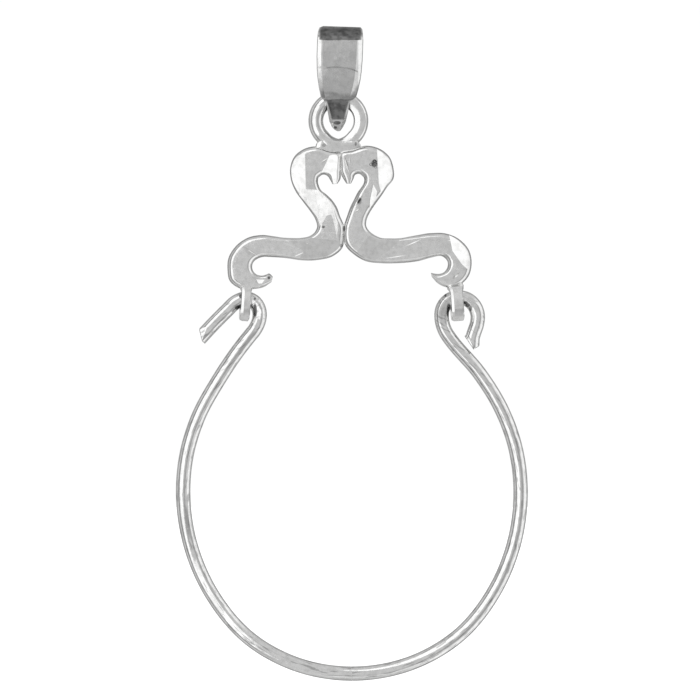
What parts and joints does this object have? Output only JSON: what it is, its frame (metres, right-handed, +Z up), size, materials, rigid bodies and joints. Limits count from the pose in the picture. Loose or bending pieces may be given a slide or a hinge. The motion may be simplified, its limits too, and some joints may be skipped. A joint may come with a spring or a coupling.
{
  "type": "charm holder pendant",
  "caption": "Pendant with a teardrop bail, an open scroll frame and a sprung wire hoop that hooks into the frame's eyelets and carries charms.",
  "frame": {"origin": "where the chain bears, on the inside of the bail's top", "axes": "+Z up along the hanging pendant, the front faces -Y, +X to the wearer's left as seen from the front"},
  "size_m": [0.0237, 0.0038, 0.044],
  "materials": {
    "bail_polish": "polished silver strap with bevelled edges",
    "frame_polish": "polished cast silver with diamond-cut facets",
    "hoop_polish": "polished drawn silver wire"
  },
  "bodies": {
    "bail": {"bail": "bail_polish"},
    "frame": {"frame": "frame_polish"},
    "hoop": {"hoop": "hoop_polish"}
  },
  "joints": [
    {"name": "frame_swing", "type": "hinge", "parent": "bail", "child": "frame", "pos_m": [-0.00014, 0, -0.00432], "axis": [1, 0, 0], "range_deg": [-60, 60]},
    {"name": "hoop_swing", "type": "hinge", "parent": "frame", "child": "hoop", "pos_m": [0, 0, -0.01781], "axis": [1, 0, 0], "range_deg": [-100, 100]}
  ]
}
